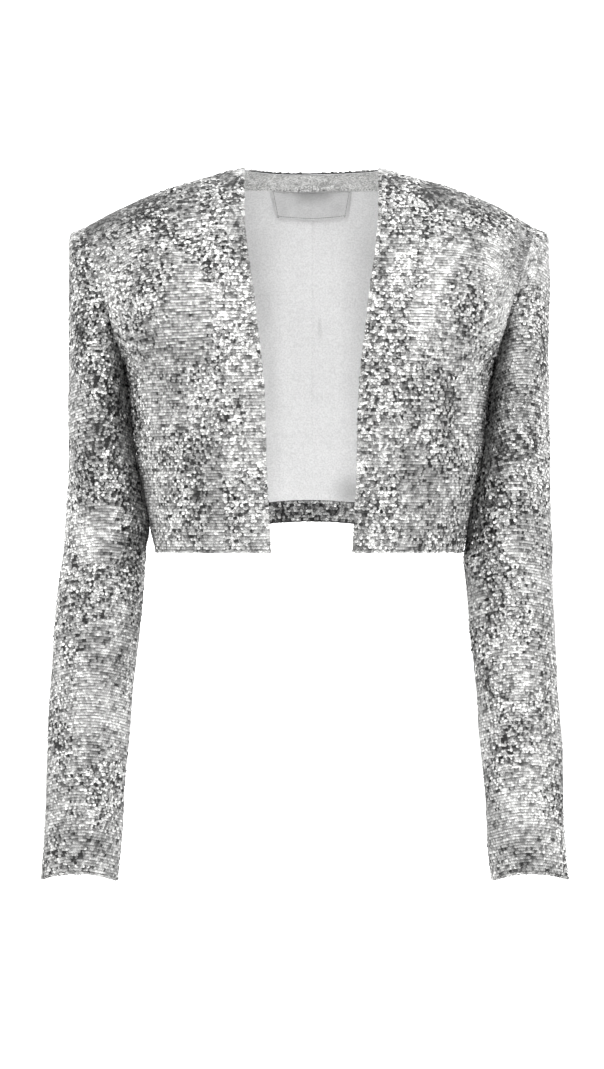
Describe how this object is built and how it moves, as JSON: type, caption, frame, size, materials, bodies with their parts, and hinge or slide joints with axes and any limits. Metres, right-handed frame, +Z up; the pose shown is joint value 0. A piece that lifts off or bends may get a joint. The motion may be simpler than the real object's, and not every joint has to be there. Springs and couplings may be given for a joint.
{
  "type": "sequin cardigan",
  "caption": "Cropped, collarless, open-front cardigan of sequin cloth with straight front bands, long slim set-in sleeves and a pale lining, filled out as worn and hollow.",
  "frame": {"origin": "where the wearer's neck and shoulders hold the garment up: midway between the two neck points, on the shoulder line", "axes": "+Z up, -Y to the front of the garment, +X to the wearer's left"},
  "size_m": [0.5052, 0.2339, 0.686],
  "materials": {
    "sequin_cloth": "cloth covered with small overlapping silver sequins, glossy",
    "lining_cloth": "plain woven lining, matt with a slight sheen",
    "facing_cloth": "fine silvery sparkle cloth",
    "label_cloth": "plain woven tape, matt"
  },
  "bodies": {
    "root": {"back": "sequin_cloth", "front_left": "sequin_cloth", "front_right": "sequin_cloth", "front_band_left": "sequin_cloth", "front_band_right": "sequin_cloth", "sleeve_left": "sequin_cloth", "sleeve_right": "sequin_cloth", "back_hem_turning": "sequin_cloth", "back_neck_facing": "facing_cloth", "back_lining": "lining_cloth", "neck_label": "label_cloth"}
  },
  "joints": []
}
